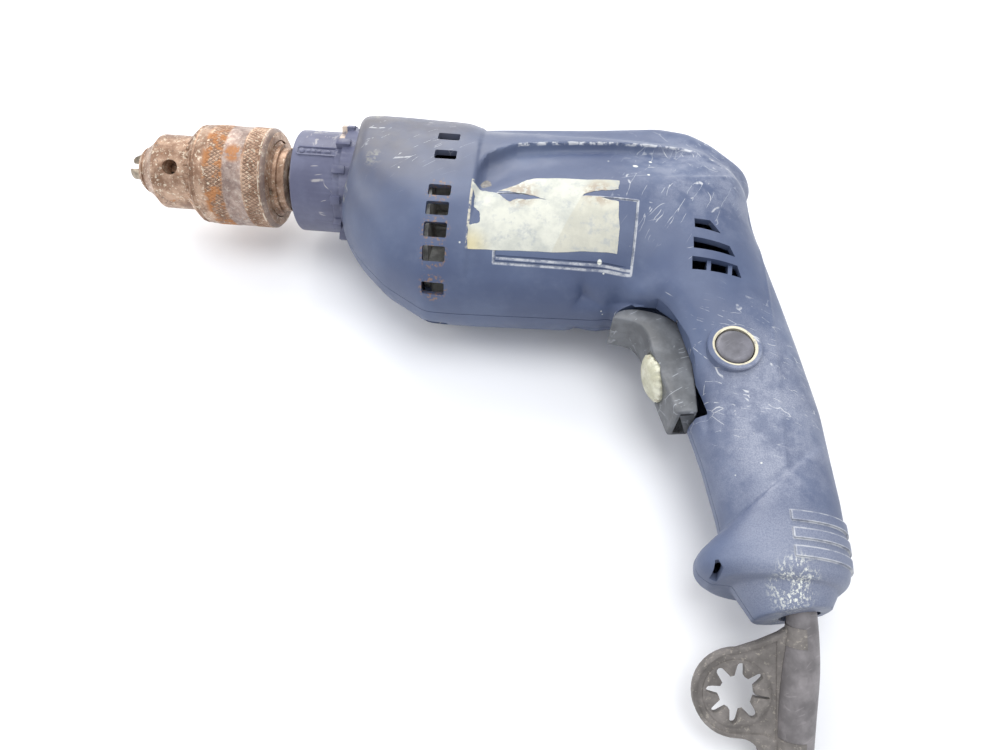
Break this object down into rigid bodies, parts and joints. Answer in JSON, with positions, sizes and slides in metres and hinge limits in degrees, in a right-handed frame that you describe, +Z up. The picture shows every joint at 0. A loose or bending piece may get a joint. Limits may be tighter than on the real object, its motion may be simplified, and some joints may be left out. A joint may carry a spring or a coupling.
{
  "type": "corded drill",
  "caption": "Corded pistol-grip drill with keyed chuck, clamshell housing, motor and gear train, trigger with speed dial, lock button and coiled mains cord.",
  "frame": {"origin": "middle of the drill's base, where its right side rests, without the cord", "axes": "+X back along the spindle axis, +Y to the top of the drill, +Z up, towards its left side"},
  "size_m": [0.2922, 0.3857, 0.064],
  "materials": {
    "housing_plastic": "satin, scratched and dusty",
    "collar_plastic": "satin, scuffed",
    "steel": "machined, dull",
    "chuck_steel": "worn and rusted",
    "bronze": "sintered, dull",
    "brass": "stamped, slightly tarnished",
    "lamination_steel": "stacked sheet, dull",
    "copper": "lacquered winding",
    "carbon": "dry, matte",
    "fan_plastic": "dusty",
    "black_plastic": "worn, satin",
    "dial_plastic": "yellowed, satin",
    "capacitor_plastic": "smooth",
    "black_rubber": "matte with a soft sheen",
    "holder_rubber": "dusty, matte",
    "cord_rubber": "matte",
    "plug_plastic": "moulded, satin",
    "label_paper": "torn and stained"
  },
  "bodies": {
    "drill_body": {"left_housing": "housing_plastic", "right_housing": "housing_plastic", "gear_housing": "collar_plastic", "bearing_plate": "steel", "spindle_bearing": "steel", "motor_front_bearing": "steel", "motor_rear_bearing": "steel", "trigger_spring": "steel", "brush_spring_left": "steel", "brush_spring_right": "steel", "clamp_screw_1": "steel", "clamp_screw_2": "steel", "housing_screw_1": "steel", "housing_screw_2": "steel", "housing_screw_3": "steel", "housing_screw_4": "steel", "housing_screw_5": "steel", "housing_screw_6": "steel", "housing_screw_7": "steel", "gear_case_screw_1": "steel", "gear_case_screw_2": "steel", "gear_case_screw_3": "steel", "spindle_bush": "bronze", "brush_holder_left": "brass", "brush_holder_right": "brass", "plug_pin_1": "brass", "plug_pin_2": "brass", "stator_core": "lamination_steel", "field_coil_top": "copper", "field_coil_bottom": "copper", "carbon_brush_left": "carbon", "carbon_brush_right": "carbon", "switch_body": "black_plastic", "cord_clamp": "black_plastic", "capacitor": "capacitor_plastic", "bearing_cup": "black_rubber", "cord_guard": "black_rubber", "chuck_key_holder": "holder_rubber", "cord": "cord_rubber", "cord_coil": "cord_rubber", "cord_tail": "cord_rubber", "plug": "plug_plastic"},
    "spindle_and_chuck": {"spindle": "steel", "spindle_gear": "steel", "chuck_body": "chuck_steel", "chuck_screw": "steel"},
    "chuck_sleeve": {"chuck_sleeve": "chuck_steel", "chuck_nut": "steel"},
    "jaw_1": {"jaw_1": "chuck_steel"},
    "jaw_2": {"jaw_2": "chuck_steel"},
    "jaw_3": {"jaw_3": "chuck_steel"},
    "armature": {"armature_shaft": "steel", "armature_core": "lamination_steel", "armature_windings": "copper", "commutator": "copper", "cooling_fan": "fan_plastic"},
    "trigger": {"trigger": "black_plastic"},
    "speed_dial": {"speed_dial": "dial_plastic"},
    "lock_button": {"lock_button": "black_plastic"}
  },
  "joints": [
    {"name": "spindle_spin", "type": "hinge", "parent": "drill_body", "child": "spindle_and_chuck", "pos_m": [-0.06911, 0.09396, 0.032], "axis": [-1, 0, 0], "continuous": true},
    {"name": "armature_spin", "type": "hinge", "parent": "drill_body", "child": "armature", "pos_m": [0.03088, 0.07146, 0.032], "axis": [-1, 0, 0], "continuous": true},
    {"name": "sleeve_turn", "type": "hinge", "parent": "spindle_and_chuck", "child": "chuck_sleeve", "pos_m": [-0.09911, 0.09396, 0.032], "axis": [1, 0, 0], "range_deg": [-1590, 4330]},
    {"name": "jaw_1_slide", "type": "slide", "parent": "spindle_and_chuck", "child": "jaw_1", "axis": [0.9763, 0.1751, 0.1272], "range_m": [-0.0071, 0.0193]},
    {"name": "jaw_2_slide", "type": "slide", "parent": "spindle_and_chuck", "child": "jaw_2", "axis": [0.9763, -0.1977, 0.088], "range_m": [-0.0071, 0.0193]},
    {"name": "jaw_3_slide", "type": "slide", "parent": "spindle_and_chuck", "child": "jaw_3", "axis": [0.9763, 0.0226, -0.2153], "range_m": [-0.0071, 0.0193]},
    {"name": "trigger_pull", "type": "slide", "parent": "drill_body", "child": "trigger", "axis": [0.9548, 0.2974, 0], "range_m": [0, 0.0065], "stiffness_N_per_m": 900, "springref_m": -0.004, "deforming": ["trigger_spring"]},
    {"name": "speed_dial_turn", "type": "hinge", "parent": "trigger", "child": "speed_dial", "pos_m": [0.08149, 0.00656, 0.032], "axis": [0.9548, 0.2974, 0], "range_deg": [-120, 120]},
    {"name": "lock_button_press", "type": "slide", "parent": "drill_body", "child": "lock_button", "axis": [0, 0, -1], "range_m": [0, 0.003], "stiffness_N_per_m": 600, "springref_m": -0.002}
  ],
  "couplings": [
    {"joint": "armature_spin", "follows": "spindle_spin", "ratio": -6.5},
    {"joint": "jaw_1_slide", "follows": "sleeve_turn", "m_per_rad": 0.00025465},
    {"joint": "jaw_2_slide", "follows": "sleeve_turn", "m_per_rad": 0.00025465},
    {"joint": "jaw_3_slide", "follows": "sleeve_turn", "m_per_rad": 0.00025465}
  ]
}
